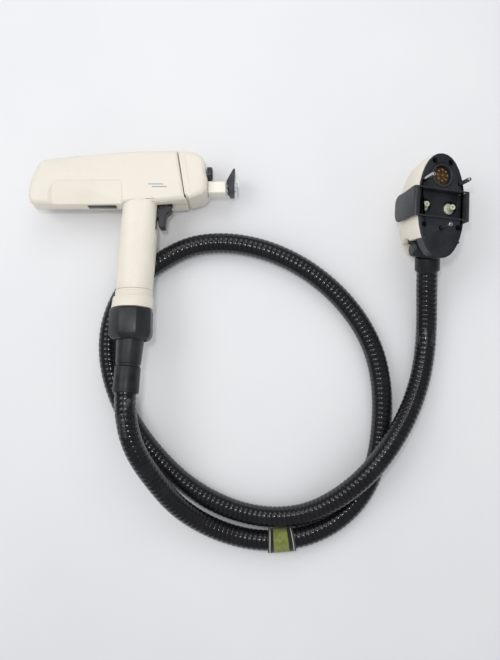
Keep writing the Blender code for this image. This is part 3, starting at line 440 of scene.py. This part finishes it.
class HoseLine:  # natural cubic line through the route, measured along the chords
    def __init__(self, route):
        self.points = np.array(route, float)
        self.spans = np.linalg.norm(np.diff(self.points, axis=0), axis=1)
        self.along = np.concatenate([[0.0], np.cumsum(self.spans)])
        count = len(route)
        system = np.eye(count)
        right = np.zeros((count, 3))
        for i in range(1, count - 1):
            before, after = self.spans[i - 1], self.spans[i]
            system[i, i - 1:i + 2] = (before, 2 * (before + after), after)
            rise = (self.points[i + 1] - self.points[i]) / after
            right[i] = 6 * (rise - (self.points[i] - self.points[i - 1]) / before)
        self.bend = np.linalg.solve(system, right)

    def at(self, distance):
        i = min(max(int(np.searchsorted(self.along, distance)) - 1, 0), len(self.points) - 2)
        span = self.spans[i]
        before = (self.along[i + 1] - distance) / span
        after = (distance - self.along[i]) / span
        curl = (before ** 3 - before) * self.bend[i] + (after ** 3 - after) * self.bend[i + 1]
        place = Vector(before * self.points[i] + after * self.points[i + 1] + curl * span ** 2 / 6)
        place.z = max(place.z, hoseSetup["lowest"] * mm)  # it rests on the table, never in it
        return place

    def nearest(self, place):
        steps = np.linspace(0, self.along[-1], 1600)
        gaps = [(self.at(step) - Vector(place)).length for step in steps]
        return float(steps[int(np.argmin(gaps))])


hoseLine = HoseLine(hoseSetup["route"])


headingStep = 0.8 * mm


def ringsAlong(distances, radii, sides, wobble=None):
    # rings square to the line; a fixed side vector is carried along so that the rings don't twist
    bm = bmesh.new()
    side = Vector((0, 0, 1))
    rings = []
    for number, (distance, radius) in enumerate(zip(distances, radii)):
        centre = hoseLine.at(distance)
        heading = (hoseLine.at(distance + headingStep) - hoseLine.at(distance - headingStep)).normalized()
        side = (side - heading * side.dot(heading)).normalized()
        across = heading.cross(side)
        ring = []
        for i in range(sides):
            angle = 2 * math.pi * i / sides
            reach = radius + (wobble(number, angle) if wobble else 0)
            ring.append(bm.verts.new(centre + (side * math.cos(angle) + across * math.sin(angle)) * reach))
        rings.append(ring)
    for lower, upper in zip(rings, rings[1:]):
        for i in range(sides):
            j = (i + 1) % sides
            bm.faces.new((lower[i], lower[j], upper[j], upper[i]))
    return bm, rings


def makeHose():
    total = float(hoseLine.along[-1])
    pitch = hoseSetup["pitch"] * mm
    low, high = hoseSetup["groove"] * mm, hoseSetup["crest"] * mm
    drop = high - low
    foot, flank, shoulder = low + 0.25 * drop, high - 0.38 * drop, high - 0.12 * drop
    profile = ((0.0, low), (0.07, foot), (0.15, flank), (0.26, shoulder),
               (0.50, high), (0.74, shoulder), (0.85, flank), (0.93, foot))
    distances, radii = [], []
    for rib in range(int(total / pitch)):
        for share, radius in profile:
            distances.append((rib + share) * pitch)
            radii.append(radius)
    bm, rings = ringsAlong(distances, radii, hoseSetup["sides"])
    bm.faces.new(rings[0][::-1])
    bm.faces.new(rings[-1])
    bmesh.ops.recalc_face_normals(bm, faces=bm.faces)
    # rib height per point; the hose finish also reads it to paint shade into the grooves
    heights = [(radius - low) / (high - low) for radius in radii for _ in range(hoseSetup["sides"])]
    piece = newMesh("umbilicalHose", bm)
    mark = piece.data.attributes.new("ribHeight", "FLOAT", "POINT")
    mark.data.foreach_set("value", heights)
    smoothByAngle(piece, 60)
    dress(piece, finishes["hoseBlack"])
    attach(piece, root)
    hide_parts("hose")
    return piece, total


strapSetup = {
    "middle": (0.1543, -0.2873, 0.0133), "width": 28.0, "inner": 11.3, "outer": 12.7, "sides": 48,
    "shares": (-1, -1, -0.97, -0.72, -0.70, -0.3, 0.1, 0.45, 0.70, 0.72, 0.97, 1, 1),
    "dips": (0.4, 0, 0, 0.2, 0.1, 0.2, 0.1, 0.2, 0, 0, 0.4),
}


def makeStrap():
    middle = hoseLine.nearest(strapSetup["middle"])
    half = strapSetup["width"] / 2 * mm
    inner, outer = strapSetup["inner"] * mm, strapSetup["outer"] * mm
    shares = strapSetup["shares"]
    reach = [inner, *(outer - dip * mm for dip in strapSetup["dips"]), inner]
    bm, rings = ringsAlong([middle + half * share for share in shares], reach, strapSetup["sides"])
    for i in range(strapSetup["sides"]):
        j = (i + 1) % strapSetup["sides"]
        bm.faces.new((rings[-1][i], rings[-1][j], rings[0][j], rings[0][i]))
    bmesh.ops.recalc_face_normals(bm, faces=bm.faces)
    across = [(share + 1) / 2 for share in shares for _ in range(strapSetup["sides"])]
    piece = newMesh("hoseStrap", bm)
    mark = piece.data.attributes.new("across", "FLOAT", "POINT")
    mark.data.foreach_set("value", across)
    smoothByAngle(piece, 50)
    dress(piece, finishes["strapWeave"])
    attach(piece, root)
    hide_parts("hose_strap")
    return piece


tapeSetup = {
    "glandTape": {"from": (0.001, -0.129, 0.060), "length": 36.0},
    "connectorTape": {"from": (0.3105, -0.078, 0.0122), "length": 19.0},
}
filmSetup = {"clear": 0.25, "thick": 0.12, "steps": 16, "sides": 48, "waves": 3, "wave": 0.07,
             "phases": (0, 6.28), "rates": (2, 4), "drift": 0.7}


def makeTape(name):
    setup = tapeSetup[name]
    start = hoseLine.nearest(setup["from"])
    outer = (hoseSetup["crest"] + filmSetup["clear"]) * mm
    steps = filmSetup["steps"]
    distances = [start + setup["length"] * mm * i / steps for i in range(steps + 1)]
    chance = random.Random(7)
    waves = [(chance.uniform(*filmSetup["phases"]), chance.uniform(*filmSetup["rates"]))
             for _ in range(filmSetup["waves"])]

    def wrinkle(number, angle):
        shift = number * filmSetup["drift"]
        return sum(filmSetup["wave"] * mm * math.sin(angle * rate + phase + shift) for phase, rate in waves)

    bm, rings = ringsAlong(distances, [outer] * (steps + 1), filmSetup["sides"], wrinkle)
    bmesh.ops.recalc_face_normals(bm, faces=bm.faces)
    piece = newMesh(name, bm)
    film = piece.modifiers.new("film", "SOLIDIFY")
    film.thickness = filmSetup["thick"] * mm
    film.offset = 0
    applyModifiers(piece)
    smoothByAngle(piece, 60)
    dress(piece, finishes["clearTape"])
    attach(piece, root)
    return piece


hose, hoseLength = makeHose()
strap = makeStrap()
tapes = [makeTape(name) for name in tapeSetup]
print("hose ready:", round(hoseLength, 3), "m")


# carried-over parts, each with merged points, softened edges and its own finish

partSetup = {
    "headShellNear": ("body_half_near", "creamShell", 0.45, 30),
    "headShellFar": ("body_half_far", "creamShell", 0.12, 30),
    "noseCover": ("nose_cover", "creamNose", 0.45, 30),
    "snout": ("nozzle", "snoutCream", 0.2, 30),
    "tipShield": ("guide_flare", "blackPlastic", 0.25, 30),
    "lightGuide": ("light_guide", "clearGlass", 0.0, 30),
    "lockKnob": ("lock_knob", "blackPlastic", 0.2, 30),
    "knobShaft": ("knob_shaft", "turnedSteel", 0.0, 30),
    "trigger": ("trigger", "blackPlastic", 0.3, 30),
    "triggerPin": ("trigger_pin", "turnedSteel", 0.0, 30),
    "triggerSpring": ("trigger_spring", "turnedSteel", 0.0, 40),
    "gripCollar": ("grip_collar", "creamNose", 0.15, 40),
    "glandNut": ("gland_nut", "glandBlack", 0.7, 25),
    "glandBody": ("gland_body", "glandBlack", 0.25, 30),
    "glandSeal": ("gland_seal", "softBlack", 0.0, 30),
    "hoseSleeve": ("hose_sleeve", "softBlack", 0.2, 30),
    "ratingPlate": ("rating_label", "labelBlack", 0.1, 30),
    "connectorShell": ("plug_shell", "creamShell", 0.3, 35),
    "connectorFace": ("plug_face", "faceBlack", 0.3, 30),
    "connectorBracket": ("plug_bracket", "bracketDark", 0.2, 30),
    "contactRing": ("contact_socket", "blackPlastic", 0.2, 30),
    "contactBlock": ("contact_insert", "contactBrown", 0.1, 30),
    "waterNippleLeft": ("water_nipple_1", "nippleWhite", 0.15, 30),
    "waterNippleRight": ("water_nipple_2", "nippleWhite", 0.15, 30),
    "guidePinLeft": ("guide_pin_1", "turnedSteel", 0.1, 30),
    "guidePinRight": ("guide_pin_2", "turnedSteel", 0.1, 30),
    "guidePinFoot": ("guide_pin_3", "turnedSteel", 0.1, 30),
    "hoseElbow": ("plug_elbow", "glandBlack", 0.3, 30),
    "connectorSleeve": ("plug_sleeve", "softBlack", 0.25, 30),
}
openingSetup = {"middle": (302.5, 9.6, 57.0), "size": (66.0, 40.8, 76.0)}
mergeSetup = {"distance": 0.000004, "flat": 0.4, "smoothMore": 12}
bodyOf = {node: body for body, nodes in frame["record"]["behaviour"]["bodies"].items() for node in nodes}


def openShell(piece):  # the shell's foot is cut back so that the elbow's boss shows
    deselectAll()
    bpy.ops.mesh.primitive_cube_add(size=1)
    cutter = bpy.context.object
    bpy.ops.object.mode_set(mode="EDIT")
    bpy.ops.mesh.select_all(action="SELECT")
    bpy.ops.transform.resize(value=[mm * span for span in openingSetup["size"]], center_override=(0, 0, 0))
    bpy.ops.transform.translate(value=[mm * spot for spot in openingSetup["middle"]])
    bpy.ops.object.mode_set(mode="OBJECT")
    cut = piece.modifiers.new("opening", "BOOLEAN")
    cut.operation = "DIFFERENCE"
    cut.solver = "EXACT"
    cut.object = cutter
    applyModifiers(piece)
    bpy.data.objects.remove(cutter, do_unlink=True)


def tidyPart(name, node, finishName, edge, angle):
    piece = bpy.data.objects.new(name, frame["nodes"][node].data.copy())
    bpy.context.scene.collection.objects.link(piece)
    selectOnly(piece)
    bpy.ops.object.mode_set(mode="EDIT")
    bpy.ops.mesh.select_all(action="SELECT")
    bpy.ops.mesh.remove_doubles(threshold=mergeSetup["distance"])
    bpy.ops.mesh.dissolve_limited(angle_limit=math.radians(mergeSetup["flat"]))
    bpy.ops.object.mode_set(mode="OBJECT")
    if node == "plug_shell":
        openShell(piece)
    if edge:
        soften = piece.modifiers.new("soften", "BEVEL")
        soften.width = edge * mm
        soften.segments = 2
        soften.limit_method = "ANGLE"
        soften.angle_limit = math.radians(angle)
        soften.use_clamp_overlap = False
        soften.harden_normals = False
        applyModifiers(piece)
    smoothByAngle(piece, angle + mergeSetup["smoothMore"])
    dress(piece, finishes[finishName])
    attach(piece, bodyOf[node])
    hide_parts(node)
    return piece


parts = {name: tidyPart(name, *setup) for name, setup in partSetup.items()}
print("outer parts ready:", len(parts))


# small pieces made here, in the applicator's or the connector's own frame

frameSetup = {"handPlace": (-0.75, 119.93, -0.93), "handTilt": -9.5,
              "plugPlace": (310.95, 62.8, 66.0), "plugTurn": (-4.4, 13.6, -4.0)}
handTilt = Matrix.Rotation(math.radians(frameSetup["handTilt"]), 4, "X")
handFrame = Matrix.Translation([mm * spot for spot in frameSetup["handPlace"]]) @ handTilt
plugTurn = Euler([math.radians(angle) for angle in frameSetup["plugTurn"]]).to_matrix().to_4x4()
plugFrame = Matrix.Translation([mm * spot for spot in frameSetup["plugPlace"]]) @ plugTurn
emblemSetup = {"bars": ((24.6, -38.2, 15.0, 1.0), (28.4, -41.0, 15.0, 1.0)),
               "face": 40.0, "proud": 0.08}
contactSetup = {"centre": (0.0, 30.5), "ring": 5.6, "count": 8, "radius": 1.05,
                "low": -2.2, "high": -0.8, "edge": 0.3}
gasketSetup = {"middle": (51.67, -26.35, 20.0), "turn": 9.52, "edge": 0.05, "size": (0.24, 50.6, 36.8),
               "height": 19.08, "shift": 0.1, "cover": (1.75, 46.0, 0.3)}
padSetup = {"reach": 26.4, "middle": 1.6, "height": 0.15, "size": (4.6, 26.4, 0.2), "edge": 0.03}
nubSetup = {"places": ((-18.0, -35.4), (18.6, -35.8)), "radius": 1.3, "low": -0.5, "high": 0.9, "edge": 0.35}


def shapeBlock(place, size, edge):
    deselectAll()
    bpy.ops.mesh.primitive_cube_add(size=1)
    bpy.ops.object.mode_set(mode="EDIT")
    bpy.ops.mesh.select_all(action="SELECT")
    bpy.ops.transform.resize(value=[mm * span for span in size], center_override=(0, 0, 0))
    bpy.ops.transform.translate(value=[mm * spot for spot in place])
    bpy.ops.mesh.bevel(offset=edge * mm, segments=2, affect="EDGES")
    bpy.ops.object.mode_set(mode="OBJECT")
    return bpy.context.object


def shapeStud(x, y, radius, low, high, edge, sides=20):
    deselectAll()
    bpy.ops.mesh.primitive_cylinder_add(vertices=sides, radius=radius * mm, depth=(high - low) * mm)
    bpy.ops.object.mode_set(mode="EDIT")
    bpy.ops.mesh.select_all(action="SELECT")
    bpy.ops.transform.translate(value=(x * mm, y * mm, (low + high) / 2 * mm))
    bpy.ops.mesh.bevel(offset=edge * mm, segments=2, affect="EDGES")
    bpy.ops.object.mode_set(mode="OBJECT")
    return bpy.context.object


def joinPieces(name, pieces, place, finishName):
    deselectAll()
    for piece in pieces:
        piece.select_set(True)
    bpy.context.view_layer.objects.active = pieces[0]
    if len(pieces) > 1:
        bpy.ops.object.join()
    joined = pieces[0]
    joined.name = name
    joined.data.transform(place)
    smoothByAngle(joined, 35)
    dress(joined, finishes[finishName])
    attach(joined, root)
    return joined


def makeEmblem():
    high = emblemSetup["proud"]
    bars = [shapeBlock((x, y, emblemSetup["face"]), (wide, tall, 2 * high), high * 0.4)
            for x, y, wide, tall in emblemSetup["bars"]]
    return joinPieces("sideEmblem", bars, handFrame, "emblemGrey")


def makeContacts():
    spots = [contactSetup["centre"]]
    for i in range(contactSetup["count"]):
        angle = 2 * math.pi * i / contactSetup["count"]
        spots.append((contactSetup["centre"][0] + contactSetup["ring"] * math.cos(angle),
                      contactSetup["centre"][1] + contactSetup["ring"] * math.sin(angle)))
    sizes = [contactSetup[key] for key in ("radius", "low", "high", "edge")]
    studs = [shapeStud(x, y, *sizes) for x, y in spots]
    return joinPieces("contactPoints", studs, plugFrame, "contactGold")


def makeGasket():  # closes the view into the head through the seam's narrow gap
    shift, height, edge = gasketSetup["shift"], gasketSetup["height"], gasketSetup["edge"]
    plates = [shapeBlock((0, 0, 0), gasketSetup["size"], edge)]
    plates += [shapeBlock((shift, 0, side * height), gasketSetup["cover"], edge) for side in (-1, 1)]
    turn = Matrix.Rotation(math.radians(gasketSetup["turn"]), 4, "Z")
    place = Matrix.Translation([mm * spot for spot in gasketSetup["middle"]]) @ turn
    return joinPieces("seamGasket", plates, handFrame @ place, "creamShell")


def makePads():  # thin strips between the face and the bracket's top, at the ends of its window
    reach, middle, height, edge = (padSetup[key] for key in ("reach", "middle", "height", "edge"))
    pads = [shapeBlock((side * reach, middle, height), padSetup["size"], edge) for side in (-1, 1)]
    return joinPieces("bracketPads", pads, plugFrame, "softBlack")


def makeNubs():
    sizes = [nubSetup[key] for key in ("radius", "low", "high", "edge")]
    studs = [shapeStud(x, y, *sizes) for x, y in nubSetup["places"]]
    return joinPieces("faceNubs", studs, plugFrame, "blackPlastic")


handDetails = [makeEmblem(), makeGasket()]
faceDetails = [makeContacts(), makeNubs(), makePads()]
print("small pieces ready:", len(handDetails) + len(faceDetails))


# inner and small parts keep their own shape and get a finish

innerFinish = {
    "microswitch": "softBlack", "switch_plunger": "nippleWhite", "lamp_chassis": "bracketDark",
    "reflector": "turnedSteel", "flow_tube": "clearGlass", "flash_lamp": "clearGlass",
    "lamp_cap_near": "ceramicWhite", "lamp_cap_far": "ceramicWhite", "filter_glass": "contactBrown",
    "filter_frame": "blackPlastic", "water_tube_in": "milkyTube", "water_tube_out": "milkyTube",
    "lamp_lead": "softBlack", "ignition_coil": "contactBrown", "control_board": "boardGreen",
}
innerFinish.update({f"body_screw_{i}": "turnedSteel" for i in range(1, 5)})
innerFinish.update({f"face_screw_{i}": "screwBlack" for i in range(1, 5)})
for node, finishName in innerFinish.items():
    part = frame["nodes"][node]
    part.data.materials.clear()
    part.data.materials.append(finishes[finishName])
print("inner parts finished:", len(innerFinish))

onCord = [parts[name] for name in partSetup if name.startswith(("connector", "contact", "water", "guidePin"))]
onCord += [parts["hoseElbow"], strap, *tapes, *faceDetails]
onCord += [frame["nodes"][f"face_screw_{i}"] for i in range(1, 5)]
pathSteps = hoseSetup["pathSteps"]
hosePath = [tuple(hoseLine.at(hoseLength * i / pathSteps)) for i in range(pathSteps + 1)]


# floor

def makeFloor():
    deselectAll()
    bpy.ops.mesh.primitive_plane_add(size=floorLook["side"], location=(0, 0, 0))
    floor = bpy.context.object
    floor.name = "tableTop"
    floor.data.materials.append(floorFinish("paleTable"))


makeFloor()
